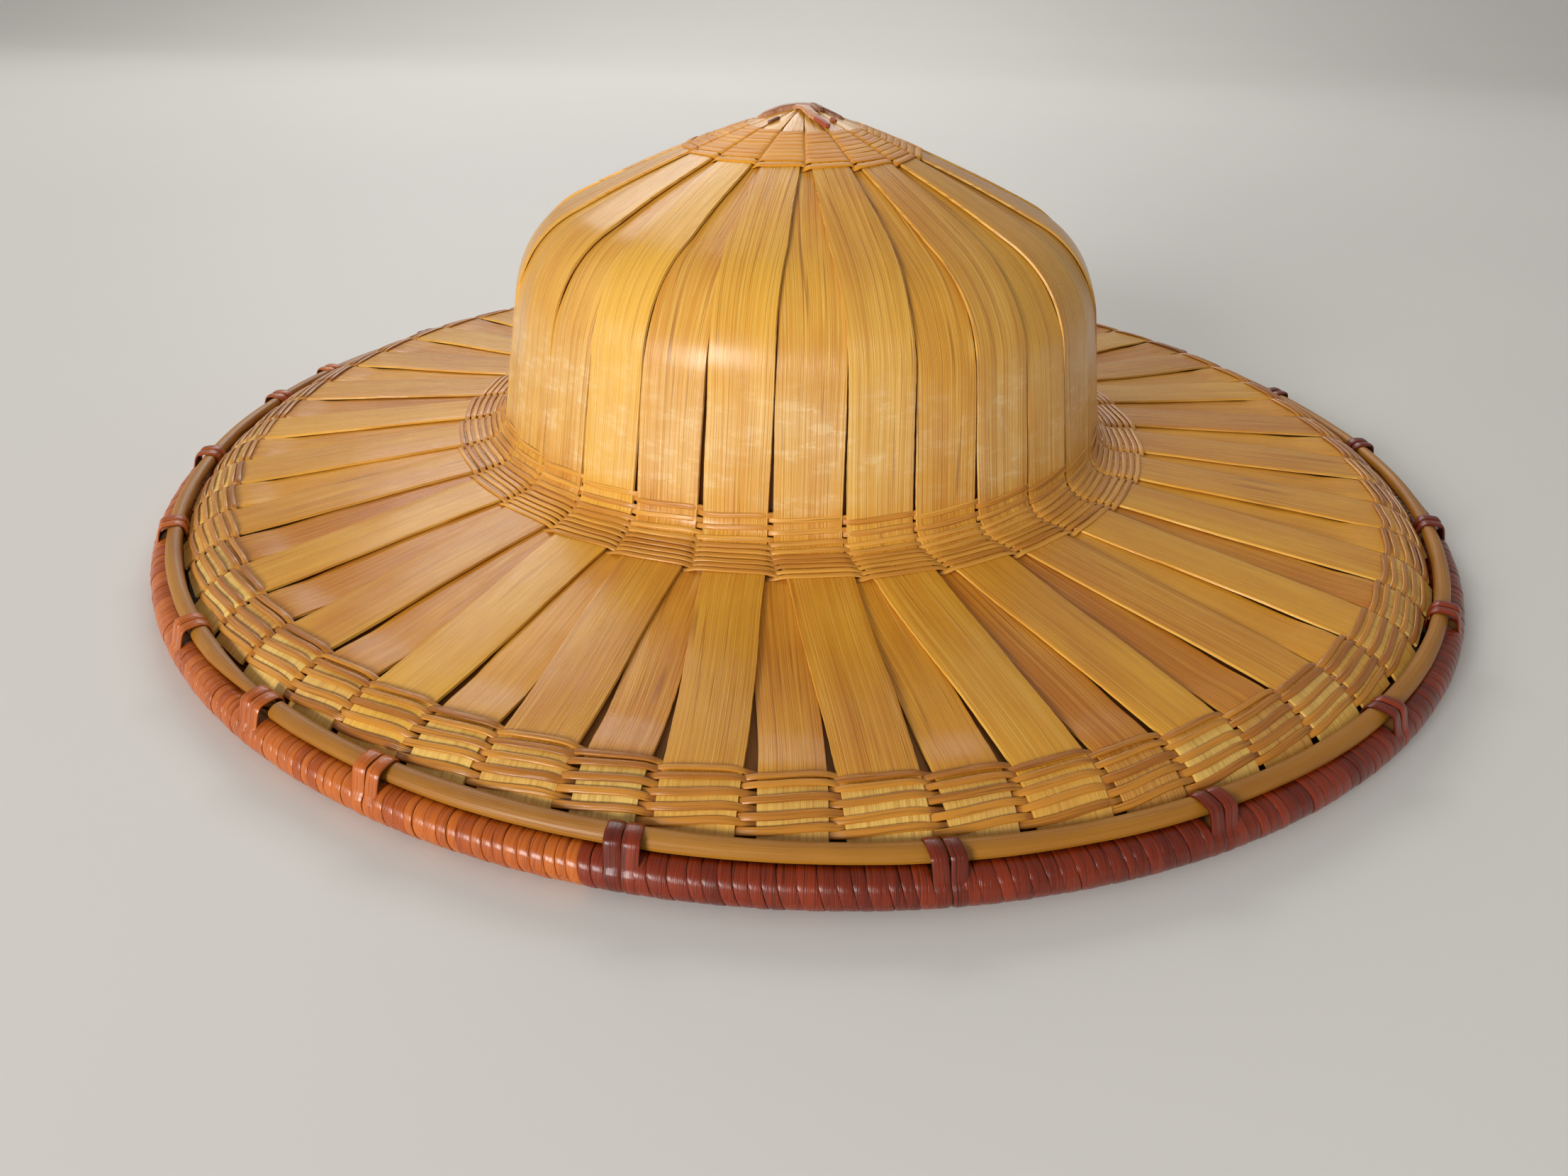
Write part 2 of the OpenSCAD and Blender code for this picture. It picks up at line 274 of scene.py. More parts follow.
def outward(deg, slope):
    """Unit vectors square to a surface that falls outward at the given slope (radians)."""
    a = np.radians(deg)
    return np.stack([np.sin(slope) * np.cos(a), np.sin(slope) * np.sin(a), np.cos(slope) + 0 * a], -1)


# ------------------------------------------------------------------ bamboo strips
def strip_section(half, t, dome):
    """Sideways and outward offsets of a flat strip with eased edges; half is (n,)."""
    h = half[:, None]
    e = np.array([1, 1, 1, 1, 0.5, 0, -0.5, -1, -1, -1, -1, -0.5, 0.5])
    inset = np.array([0.1, 0, 0.12, 0.5, 0, 0, 0, 0.5, 0.12, 0, 0.1, 0, 0])
    w = e * h - np.sign(e) * inset * (np.abs(e) == 1)
    n = np.array([
        -t, -t + 0.12, -0.06, 0, 0.75 * dome, dome, 0.75 * dome, 0, -0.06, -t + 0.12, -t, -t, -t,
    ])
    return w, np.repeat(n[None, :], len(half), 0)


# points of the section at the foot of its two sides, where the pale flesh shows
SIDE_POINTS = [0, 1, 9, 10]


def crown_half(r, full):
    """Half width of a tapered crown strip at radius r."""
    return np.interp(r, [0.5, 3, 14, 36, 66, 90, 400], [0.1, 0.58, 2.6, 5.4, full - 0.1, full, full])


def add_strip(b, k, phase, s0, s1, depth, full, taper, fuller=0.0, behind=False):
    """One strip k, from distance s0 to s1, its top `depth` under the surface line (a function of r).

    It is `full` wide, and `fuller` wider away from the front; `taper` narrows it towards the tip.
    """
    s = np.arange(s0, s1, 1.7)
    s[-1] = s1
    r, z, a = line(s)
    seed = k * 1.37 + phase
    deg = phase + lean(r) + np.degrees(wobble(s, seed + 3, 170, 0.28) / np.maximum(r, 20))
    full = full + (pick(seed, 1) - 0.5) * 1.0
    full = full + fuller * float(ramp(from_front(phase), 14, 38))
    half = (crown_half(r, full / 2) if taper else np.full_like(r, full / 2)) + wobble(s, seed, 95, 0.16)
    half = half + (0.6 * ramp(r, 80, 95) * (1 - ramp(r, 98, 106)) if taper else 0)
    d = depth(r) + 0 * r
    d = d + np.abs(wobble(s, seed + 9, 60, 0.05))
    up = outward(deg, a)
    path = polar(r, deg, z) - up * d[:, None]
    sw, sn = strip_section(half, STRIP_T, 0.10)
    # rough sawn-off edges: a little more on one side than on the other
    rough = wobble(s, seed + 5, 5.3, 0.035)[:, None] + wobble(s, seed + 6, 2.9, 0.02)[:, None]
    sw = sw + rough * (np.abs(sw) > half[:, None] * 0.9) * np.sign(sw)
    # a slight twist, so that neighbouring strips catch the light at their own angle
    twist = np.radians(wobble(s, seed + 2, 120, 0.8) + (pick(seed, 4) - 0.5) * 1.2)[:, None]
    sn = sn + sw * np.tan(twist) * ramp(r, 20, 60)[:, None]
    rings = sweep(path, up, sw, sn)
    # what the material needs: tone of the strip, pale weaving zone and a paler crown wall (partly whitish
    # film, partly painted light), dusty zone on the crown and painted shade on the inserted strips behind it
    tone = pick(seed, 2)
    pale = ramp(r, 178.5, 181) * (0.25 + 0.75 * pick(seed, 3))
    dust_and_shade = ramp(z, 26, 36) * (1 - ramp(z, 54, 70)) * (0.5 + 0.5 * pick(seed, 5)) * ramp(r, 80, 88)
    # painted shade: the inserted strips are darkened where they lie behind the crown
    if behind:
        dust_and_shade = ramp(z, 22, 26)
    else:
        # a paler band round the crown wall: partly whitish film, partly painted light where the window falls
        # on it
        pale = pale + ramp(z, 24, 40) * (1 - ramp(z, 76, 104)) * (0.10 + 0.22 * pick(seed, 6))
    look = np.empty(rings.shape)
    look[..., 0] = tone
    look[..., 1] = pale[:, None]
    look[..., 2] = dust_and_shade[:, None]
    look[:, SIDE_POINTS, 1] = np.maximum(look[:, SIDE_POINTS, 1], 0.7)
    b.tube(rings, sw, s, seed, look)


def strips():
    """The four layers: top strips, the ones under them, inserted ones and the lining."""
    over, under, inserted, lining = Builder(), Builder(), Builder(), Builder()
    for k in range(STRIPS // 2):
        add_strip(
            over, k, CROWN_PHASE + 2 * PITCH * k, 1.2, S_END,
            lambda r: 0.0 * r, OVER_W, True, fuller=OUTER_FULLER,
        )
        add_strip(
            under, k, CROWN_PHASE + 2 * PITCH * k - PITCH, 9, S_END,
            lambda r: LAYER * (1 - ramp(r, 84, 93)), UNDER_W, True, fuller=OUTER_FULLER,
        )
    for k in range(STRIPS):
        add_strip(
            inserted, k, CROWN_PHASE + PITCH * (k - 0.5), S_SHOULDER + 12, S_END - 1.2,
            lambda r: 2.05 * LAYER - 1.02 * LAYER * ramp(r, 98, 110) - 0.9 * LAYER * ramp(r, 164, 176),
            INSERT_W, False, fuller=INSERT_FULLER, behind=True,
        )
    for k in range(2 * STRIPS):
        add_strip(
            lining, k, CROWN_PHASE + PITCH / 2 * (k - 0.5), S_BRIM + 2, S_END - 3.8,
            lambda r: 2.08 * LAYER, LINING_W, False,
        )
    return over, under, inserted, lining


# ------------------------------------------------------------------ twined weavers
def weaver_section(w, t):
    """Split cane: flat below, rounded above."""
    x = np.array([-0.5, -0.5, -0.43, -0.26, 0, 0.26, 0.43, 0.5, 0.5, 0.2, -0.2]) * w
    y = np.array([0.12, 0.55, 0.86, 0.98, 1.0, 0.98, 0.86, 0.55, 0.12, 0, 0]) * t
    return x, y


def twined_row(b, s_row, stakes, phase, w, t, top, low, drift, sharp, seed, tuck=1.0, loose=1.0):
    """Two strands that change places between stakes: over one stake, under the next.

    w and t are a strand's width and thickness, top and low its base over and under the surface line,
    drift how far it wanders along the line, sharp how quickly it changes sides, tuck how flat it
    lies over a stake and loose how uneven the row is.
    """
    pitch = 360.0 / stakes
    per = 18
    n = stakes * per
    i = np.arange(n)
    for strand in (0, 1):
        x = i / per - 0.5  # stake number, whole at the middle of a stake
        k = np.floor(x + 0.5)
        f = 2 * (x - k)  # -1 .. 1 across the stake
        over = ((k + strand) % 2) == 0
        phi = np.where(over, f, f + 2)
        wave = np.cos(math.pi * phi / 2)
        lift = np.tanh(sharp * wave) / math.tanh(sharp)
        nrm = (top + low) / 2 + (top - low) / 2 * lift
        hand = np.array([pick(q * 1.91 + seed + strand * 7.7) for q in range(stakes)]) - 0.5
        hk = hand[(k.astype(int)) % stakes]
        ds = -drift * np.sin(math.pi * phi / 2) + 0.22 * w * loose * wobble(x, seed + strand, 7.0, 0.5)
        nrm = nrm + np.where(over, (0.10 * hk + 0.12 * (loose - 1)) * (1 - f * f), 0)
        s = s_row + ds + 0.10 * w * loose * hk * (1 - f * f)
        r, z, a = line(s)
        deg = phase + x * pitch + lean(r)
        r = r / np.cos(np.radians(f * pitch / 2) * tuck)
        up = outward(deg, a)
        path = polar(r, deg, z) + up * nrm[:, None]
        sw, sn = loop_frames(path, up)
        cx, cy = weaver_section(1.0, 1.0)
        ww = w * (1 + 0.10 * loose * hk + wobble(x, seed + strand * 3.1, 3.1, 0.06))
        xs = cx[None, :] * ww[:, None]
        ys = cy[None, :] * t * (1 + 0.08 * hk)[:, None]
        rings = place(path, xs, ys, sw, sn)
        # painted shade: how far the strand has dipped under, darkened in the material
        dark = np.clip((top - nrm) / (top - low), 0, 1)
        tone = 0.5 + 0.7 * loose * hk
        look = np.stack([tone, dark, 0 * tone], -1)[:, None, :]
        along = x * math.radians(pitch) * float(line(s_row)[0])
        b.tube(rings, xs, along, seed * 3.3 + strand * 17.0, look, closed=True)


# ------------------------------------------------------------------ materials
def lin(r, g, b):
    """Linear colour from sRGB 0-255."""
    out = []
    for c in (r, g, b):
        c /= 255
        out.append(c / 12.92 if c <= 0.04045 else ((c + 0.055) / 1.055) ** 2.4)
    return (*out, 1.0)


class Nodes:
    """Short calls for building a node tree."""

    def __init__(self, name):
        self.m = bpy.data.materials.new(name)
        self.m.use_nodes = True
        self.t = self.m.node_tree
        self.bsdf = self.t.nodes["Principled BSDF"]

    def new(self, kind, **sets):
        n = self.t.nodes.new("ShaderNode" + kind)
        for k, v in sets.items():
            setattr(n, k, v)
        return n

    def put(self, socket, value):
        if hasattr(value, "links"):
            self.t.links.new(value, socket)
        else:
            socket.default_value = value

    def attr(self, name):
        return self.new("Attribute", attribute_name=name).outputs["Vector"]

    def split(self, vec):
        n = self.new("SeparateXYZ")
        self.put(n.inputs[0], vec)
        return n.outputs

    def math(self, op, a, b=0.0, clamp=False):
        n = self.new("Math", operation=op, use_clamp=clamp)
        self.put(n.inputs[0], a)
        self.put(n.inputs[1], b)
        return n.outputs[0]

    def scaled(self, vec, x, y, z):
        n = self.new("VectorMath", operation="MULTIPLY")
        self.put(n.inputs[0], vec)
        n.inputs[1].default_value = (x, y, z)
        return n.outputs[0]

    def noise(self, vec, scale, detail=2.0, rough=0.5, distort=0.0):
        n = self.new("TexNoise")
        self.put(n.inputs["Vector"], vec)
        n.inputs["Scale"].default_value = scale
        n.inputs["Detail"].default_value = detail
        n.inputs["Roughness"].default_value = rough
        n.inputs["Distortion"].default_value = distort
        return n.outputs["Fac"]

    def range(self, v, a, b, c=0.0, d=1.0):
        n = self.new("MapRange", interpolation_type="SMOOTHSTEP")
        self.put(n.inputs["Value"], v)
        for key, x in zip(("From Min", "From Max", "To Min", "To Max"), (a, b, c, d)):
            n.inputs[key].default_value = x
        return n.outputs[0]

    def mix(self, fac, a, b, kind="MIX"):
        n = self.new("Mix", data_type="RGBA", blend_type=kind)
        self.put(n.inputs[0], fac)
        self.put(n.inputs[6], a)
        self.put(n.inputs[7], b)
        return n.outputs[2]

    def bump(self, height, dist, strength=1.0, normal=None):
        n = self.new("Bump")
        self.put(n.inputs["Height"], height)
        n.inputs["Distance"].default_value = dist
        n.inputs["Strength"].default_value = strength
        if normal is not None:
            self.put(n.inputs["Normal"], normal)
        return n.outputs[0]


def bamboo(name, light, deep, dark, pale, gloss=0.27, coat=0.25, contrast=1.0, shaded=False):
    """Varnished bamboo strip: long fibres, thin dark and pale veins, tone by strip, scuffs, pale flesh."""
    q = Nodes(name)
    g = q.attr("grain")
    tone, band, third = q.split(q.attr("look"))
    fine = q.noise(q.scaled(g, 3.7, 0.009, 7.0), 1.0, 2.0, 0.6)
    hair = q.noise(q.scaled(g, 10.0, 0.035, 3.0), 1.0, 2.0, 0.6)
    broad = q.noise(q.scaled(g, 0.6, 0.005, 5.0), 1.0, 2.0, 0.5)
    blot = q.noise(q.scaled(g, 0.10, 0.030, 1.3), 1.0, 3.0, 0.55)
    depth = q.math("ADD", q.math("MULTIPLY", tone, 0.6), q.math("MULTIPLY", broad, 0.4))
    depth = q.math("ADD", depth, q.math("MULTIPLY", blot, 1.1))
    base = q.mix(q.range(depth, 0.55, 1.55), light, deep)
    pos = q.new("TexCoord").outputs["Object"]
    # the fibres show most on the crown
    marked = q.math("ADD", q.math("MULTIPLY", tone, 0.8), 0.6)
    marked = q.math("MULTIPLY", marked, q.range(q.split(pos)[2], 0.020, 0.030, 0.62, 1.0))

    def marks(fac, share):
        return q.math("MULTIPLY", q.math("MULTIPLY", fac, share * contrast), marked, clamp=True)

    base = q.mix(marks(q.range(fine, 0.50, 0.66), 0.50), base, q.mix(0.4, base, pale))
    base = q.mix(marks(q.range(fine, 0.50, 0.36), 0.60), base, q.mix(0.4, base, dark))
    base = q.mix(marks(q.range(hair, 0.54, 0.70), 0.36), base, q.mix(0.4, base, dark))
    veins = q.noise(q.scaled(g, 1.05, 0.0055, 9.0), 1.0, 0.0, 0.4)
    near = q.math("ABSOLUTE", q.math("SUBTRACT", veins, 0.46))
    base = q.mix(marks(q.range(near, 0.028, 0.004), 0.60), base, dark)
    near = q.math("ABSOLUTE", q.math("SUBTRACT", veins, 0.57))
    base = q.mix(marks(q.range(near, 0.022, 0.004), 0.32), base, pale)
    # pale flesh between the outer rows, streaked with brown; on the crown wall the same mix paints a paler
    # band, partly whitish film and partly painted light
    streak = q.range(q.noise(q.scaled(g, 1.5, 0.04, 2.0), 1.0, 3.0, 0.6), 0.44, 0.64)
    flesh = q.mix(q.math("MULTIPLY", streak, 0.34), pale, dark)
    base = q.mix(q.math("MULTIPLY", band, 0.68), base, flesh)
    rough = q.math("ADD", q.math("MULTIPLY", fine, 0.20), gloss - 0.10)
    if shaded:
        # painted shade: the inner strips behind the crown are darkened towards brown where they lie in shade
        base = q.mix(third, base, q.mix(0.35, dark, base))
    else:
        # dry, scuffed varnish on the lower crown, broken up by the fibres
        film = q.noise(q.scaled(pos, 46.0, 46.0, 70.0), 1.0, 3.0, 0.6)
        fleck = q.noise(q.scaled(pos, 150.0, 150.0, 380.0), 1.0, 3.0, 0.65)
        cover = q.math("MULTIPLY", q.range(film, 0.34, 0.64, 0.35, 1.0), 0.62)
        spots = q.math("MULTIPLY", q.range(fleck, 0.49, 0.70), q.range(film, 0.38, 0.58, 0.2, 1.0))
        cover = q.math("MULTIPLY", q.math("ADD", cover, spots, clamp=True), third)
        scuff = q.math("MULTIPLY", cover, q.range(fine, 0.38, 0.58, 0.25, 1.0), clamp=True)
        base = q.mix(q.math("MULTIPLY", scuff, 0.66), base, lin(250, 228, 180))
        rough = q.math("ADD", rough, q.math("MULTIPLY", scuff, 0.12), clamp=True)
    q.put(q.bsdf.inputs["Base Color"], base)
    q.put(q.bsdf.inputs["Roughness"], rough)
    q.bsdf.inputs["Specular IOR Level"].default_value = 0.36
    q.bsdf.inputs["Coat Weight"].default_value = coat
    q.bsdf.inputs["Coat Roughness"].default_value = 0.20
    height = q.math("ADD", q.math("MULTIPLY", fine, 0.7), q.math("MULTIPLY", hair, 0.3))
    q.put(q.bsdf.inputs["Normal"], q.bump(height, 0.00022, 1.0))
    return q.m


def cane(name, light, deep, dark, gloss=0.30, coat=0.3, sink=1.0, streak=1.0, shine=0.4):
    """Glossy split cane: soft lengthwise fibres, painted shade where it dips under and in the grooves at its
    edges.
    """
    q = Nodes(name)
    g = q.attr("grain")
    tone, low, stain = q.split(q.attr("look"))
    fine = q.noise(q.scaled(g, 4.2, 0.05, 5.0), 1.0, 3.0, 0.6)
    broad = q.noise(q.scaled(g, 0.6, 0.03, 3.0), 1.0, 2.0, 0.5)
    depth = q.math("ADD", q.math("MULTIPLY", tone, 0.6), q.math("MULTIPLY", broad, 0.8))
    base = q.mix(q.range(depth, 0.30, 1.15), light, deep)
    base = q.mix(q.math("MULTIPLY", q.range(fine, 0.50, 0.70), 0.5 * streak), base, dark)
    base = q.mix(q.math("MULTIPLY", q.range(fine, 0.48, 0.30), 0.35 * streak), base, light)
    # painted shade: darker where the strand dips under its neighbours and in the grooves between turns
    base = q.mix(q.math("MULTIPLY", q.range(low, 0.50, 1.0), 0.62 * sink), base, dark)
    base = q.mix(stain, base, lin(172, 62, 24))
    q.put(q.bsdf.inputs["Base Color"], base)
    rough = q.math("ADD", q.math("MULTIPLY", fine, 0.24), gloss - 0.12, clamp=True)
    q.put(q.bsdf.inputs["Roughness"], rough)
    q.bsdf.inputs["Specular IOR Level"].default_value = shine
    q.bsdf.inputs["Coat Weight"].default_value = coat
    q.bsdf.inputs["Coat Roughness"].default_value = 0.14
    q.put(q.bsdf.inputs["Normal"], q.bump(fine, 0.00014, 0.9))
    return q.m


PALE = lin(248, 218, 126)
M_OVER = bamboo("bamboo_over", lin(235, 174, 50), lin(208, 134, 30), lin(140, 66, 8), PALE)
M_UNDER = bamboo("bamboo_under", lin(233, 170, 48), lin(204, 128, 28), lin(136, 62, 8), PALE)
M_INSERT = bamboo(
    "bamboo_inserted", lin(231, 163, 42), lin(196, 116, 24), lin(122, 58, 8), PALE, coat=0.2, shaded=True
)
M_LINING = bamboo(
    "bamboo_lining", lin(158, 104, 48), lin(122, 74, 30), lin(72, 38, 14), lin(184, 134, 70),
    gloss=0.6, coat=0.0,
)
M_HOOP = bamboo(
    "bamboo_hoop", lin(178, 120, 34), lin(146, 88, 18), lin(100, 52, 12), lin(200, 148, 60),
    gloss=0.42, coat=0.12, contrast=0.4,
)
M_WEAVER = cane("cane_weaver", lin(230, 168, 70), lin(200, 130, 48), lin(96, 46, 14), coat=0.12)
M_EDGE = cane("edge_weaver", lin(206, 138, 44), lin(166, 98, 26), lin(70, 32, 8), gloss=0.26, coat=0.22)
M_TIPWEAVE = cane(
    "tip_weaver", lin(230, 160, 40), lin(206, 128, 24), lin(124, 62, 8), 0.42, 0.0, streak=0.6, shine=0.22
)
M_DARK = cane(
    "peel_dark", lin(138, 46, 14), lin(98, 27, 7), lin(38, 10, 3), 0.28, 0.18, streak=1.5, shine=0.34
)
M_TAN = cane(
    "peel_tan", lin(196, 102, 28), lin(164, 72, 14), lin(92, 32, 6), 0.26, 0.22, streak=1.2, shine=0.36
)
M_TIE = cane("peel_tie", lin(206, 148, 108), lin(118, 66, 38), lin(62, 28, 14), gloss=0.45, coat=0.08)


# ------------------------------------------------------------------ body of the hat
b_over, b_under, b_inserted, b_lining = strips()
b_over.make("strips_over", ["crown_strips_over", "brim_strips_over"], "bamboo_strip", M_OVER)
b_under.make("strips_under", ["crown_strips_under", "brim_strips_under"], "bamboo_strip_deep", M_UNDER)
b_inserted.make(
    "strips_inserted", ["crown_strips_inner", "brim_strips_inserted"], "bamboo_inner", M_INSERT
)
b_lining.make("strips_lining", ["brim_lining"], "bamboo_strip_deep", M_LINING)


def waist():
    """Two open rows on the foot of the wall and seven tight rows through the corner."""
    w = 1.45
    gap = 2.09
    first = S_CORNER - 1.2
    open_rows = (0, 1.55 * gap)
    for i in range(9):
        s = first + (open_rows[i] if i < 2 else gap * (i + 0.95))
        b = Builder()
        twined_row(
            b, s, STRIPS, CROWN_PHASE, w, 0.5, 0.10, -1.35, 0.42 * w, 3.6, 11 + i * 2.3, tuck=0.5,
            loose=1.3,
        )
        b.make(f"waist_weave_{i + 1}", [f"waist_row_{i + 1}"], "weaver", M_WEAVER)


def edge_rows():
    """Two tight rows and three open rows over the strip ends, all stakes."""
    widths = (1.4, 1.5, 1.65, 1.7, 1.7)
    places = (0.9, 3.1, 6.2, 9.3, 12.3)
    for i in range(5):
        w = widths[i]
        s = S_EDGE + places[i]
        b = Builder()
        twined_row(
            b, s, 2 * STRIPS, CROWN_PHASE + BRIM_TURN - lean(line(s)[0]), w, 0.5, 0.12, -1.3,
            0.46 * w, 2.8, 41 + i * 3.7, tuck=0.8, loose=1.9,
        )
        b.make(f"edge_weave_{i + 1}", [f"edge_row_{i + 1}"], "weaver", M_EDGE)


def tip_rows():
    """Fine rows over the sixteen top strips, and a thicker one round their foot."""
    first, step = 18.9, 2.08
    foot_at = 36.2
    fine = Builder()
    for i in range(8):
        s = first + i * step
        twined_row(
            fine, s, STRIPS // 2, CROWN_PHASE, 2.05, 0.26, 0.04, -1.0, 0.45, 5.0, 71 + i * 1.9,
            tuck=0.45 + 0.25 * ramp(s, 14, 36),
        )
    fine.make("tip_weave", ["tip_weave_fine"], "weaver", M_TIPWEAVE)
    foot = Builder()
    twined_row(foot, foot_at, STRIPS // 2, CROWN_PHASE, 1.9, 0.38, 0.06, -1.2, 0.6, 4.6, 97, tuck=0.7)
    foot.make("tip_weave_foot", ["tip_weave_edge"], "weaver", M_TIPWEAVE)


waist()
edge_rows()
tip_rows()


# ------------------------------------------------------------------ rim
def ring_sweep(b, r, z, sx, sy, a0, a1, n, seed, look, closed=False, wob=0.0):
    """A section (radial, up offsets) carried round the axis from a0 to a1 degrees."""
    deg = a0 + (a1 - a0) * np.arange(n) / (n if closed else n - 1)
    arc = np.radians(deg) * r
    grow = 1 + wobble(arc, seed, 210, wob) + wobble(arc, seed + 1, 47, wob * 0.5)
    rr = r + wobble(arc, seed + 2, 260, 0.12)[:, None] + sx[None, :] * grow[:, None]
    zz = z + sy[None, :] * (1 + wobble(arc, seed + 3, 150, wob))[:, None]
    a = np.radians(deg)[:, None]
    rings = np.stack([rr * np.cos(a), rr * np.sin(a), zz + 0 * a], -1)
    across = np.cumsum(np.hypot(np.diff(sx, append=sx[0]), np.diff(sy, append=sy[0])))
    b.tube(rings, np.repeat(across[None, :], n, 0), arc, seed, look, closed=closed)


# an angle between two lashings, a little left of the front, from which they are counted
LASH_COUNT_FROM = 255.0


def lashing_angles():
    """The angle of each CAD lashing, to a tenth of a degree, going round; past 360 they run on."""
    turned = []
    for node in ("lashings_dark", "lashings_tan"):
        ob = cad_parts[node]
        v = np.array([ob.matrix_world @ p.co for p in ob.data.vertices])
        turned.append((np.degrees(np.arctan2(v[:, 1], v[:, 0])) - LASH_COUNT_FROM) % 360)
    turned = np.sort(np.concatenate(turned))
    # a lashing is about two degrees wide, and even about its angle; the gaps between them are far wider
    groups = np.split(turned, np.where(np.diff(turned) > 3)[0] + 1)
    return [round(float(LASH_COUNT_FROM + (g[0] + g[-1]) / 2), 1) for g in groups]


LASH_AT = lashing_angles()
TAN_FROM, TAN_TO = 156.0, 258.5
LASH_W = 3.2
TURN, TURN_TAN = 3.1, 2.5  # width of one turn of the dark and the tan peel
SPLICE_AT = 234.6  # where the top hoop starts
LOW_W = 3.8  # width of the lower hoop


def is_tan(deg):
    """Whether the peel at this angle is the tan one."""
    return TAN_FROM < deg % 360 < TAN_TO


def hoops():
    """The top hoop with its lapped tail, and the lower hoop."""
    z0, t = TOP_LO[2], TOP_HI[2] - TOP_LO[2]
    w = TOP_R - TOP_IN
    mid = TOP_R - w / 2
    x = np.array([-0.5, -0.5, -0.44, -0.30, -0.08, 0.12, 0.30, 0.44, 0.5, 0.5, 0.42, -0.42]) * w
    y = np.array([0.10, 0.62, 0.86, 0.97, 1.0, 0.95, 0.82, 0.64, 0.42, 0.10, 0.0, 0.0]) * t
    b = Builder()
    look = (0.35, 0, 0)
    ring_sweep(b, mid, z0, x * 0.985, y, SPLICE_AT, SPLICE_AT + 351.0, 720, 3.0, look, wob=0.06)
    b.make("rim_hoop_top", ["top_hoop"], "hoop_bamboo", M_HOOP)
    # the tapered tail that runs under the start of the hoop
    b = Builder()
    n = 60
    deg = np.linspace(SPLICE_AT - 9.2, SPLICE_AT - 0.4, n)
    k = np.linspace(1, 0.25, n)[:, None]
    a = np.radians(deg)[:, None]
    rr = mid + x[None, :] * k * 0.97 - (1 - k) * 0.7
    zz = z0 + y[None, :] * (0.35 + 0.65 * k)
    rings = np.stack([rr * np.cos(a), rr * np.sin(a), zz + 0 * a], -1)
    b.tube(rings, np.repeat(x[None, :], n, 0), np.radians(deg) * mid, 9.0, (0.7, 0, 0))
    b.make("rim_hoop_top_tail", ["top_hoop_splice"], "hoop_bamboo", M_HOOP)
    t = LOW_HI[2] - LOW_LO[2]
    b = Builder()
    x = np.array([-0.5, -0.4, 0.0, 0.4, 0.5, 0.5, 0.36, 0.0, -0.36, -0.5]) * LOW_W
    y = np.array([0.9, 1.0, 1.0, 1.0, 0.9, 0.45, 0.14, 0.02, 0.14, 0.45]) * t
    ring_sweep(b, LOW_R - LOW_W / 2, LOW_LO[2], x * 0.98, y, 0, 360, 720, 5.0, (0.6, 0, 0), closed=True)
    b.make("rim_hoop_lower", ["lower_hoop"], "hoop_bamboo", M_HOOP)


def wrap_turns():
    """The peel wound round the rim hoop, a turn at a time, between the lashings."""
    dark, tan = Builder(), Builder()
    half_gap = math.degrees((LASH_W - 0.5) / HOOP_R)
    px = np.array([-0.5, -0.49, -0.43, -0.25, 0.05, 0.30, 0.45, 0.5, 0.5])
    pr = np.array([-0.95, -0.20, -0.08, -0.02, 0.0, -0.02, -0.06, -0.16, -0.95])
    turn_no = 0
    steps = 26
    for i, start in enumerate(LASH_AT):
        end = LASH_AT[i + 1] if i + 1 < len(LASH_AT) else LASH_AT[0] + 360
        a0, a1 = start + half_gap, end - half_gap
        turn = TURN_TAN if is_tan((a0 + a1) / 2) else TURN
        count = max(1, round(math.radians(a1 - a0) * HOOP_R / turn))
        edges = np.array([pick(start + j * 0.731) for j in range(count)]) * 0.5 + 0.75
        if i % 3 == 1:
            edges *= 1 + 0.12 * np.sin(np.arange(count))
        cuts = a0 + (a1 - a0) * np.concatenate([[0], np.cumsum(edges)]) / edges.sum()
        for j in range(count):
            turn_no += 1
            mid = (cuts[j] + cuts[j + 1]) / 2
            width = math.radians(cuts[j + 1] - cuts[j]) * HOOP_R
            psi = np.linspace(0, 2 * math.pi, steps)
            slant = turn * 0.42
            shift = -slant * np.sin(psi) * 0.9 + wobble(psi, turn_no * 0.77, 6.0, 0.08)
            lift = -0.02 - 0.16 * pick(turn_no, 2)
            x = px[None, :] * width + shift[:, None]
            r = TUBE_R + lift + pr[None, :] * 0.9 + 0 * x
            r = np.minimum(r, TUBE_R)
            a = np.radians(mid) + x / HOOP_R
            rad = HOOP_R + r * np.cos(psi)[:, None]
            rings = np.stack([rad * np.cos(a), rad * np.sin(a), TUBE_Z + r * np.sin(psi)[:, None]], -1)
            side = tan if is_tan(mid) else dark
            # painted shade in the grooves where the turns meet
            groove = np.array([1, 0.9, 0.35, 0, 0, 0, 0.25, 0.8, 1.0])
            look = np.zeros((steps, len(px), 3))
            look[..., 0] = pick(turn_no, 5)
            look[..., 1] = groove[None, :]
            side.tube(rings[:-1], x[:-1], psi[:-1] * TUBE_R, turn_no * 2.17, look[:-1], closed=True)
    dark.make("rim_wrap_dark", ["wrap_dark"], "peel_dark", M_DARK)
    tan.make("rim_wrap_tan", ["wrap_tan"], "peel_tan", M_TAN)


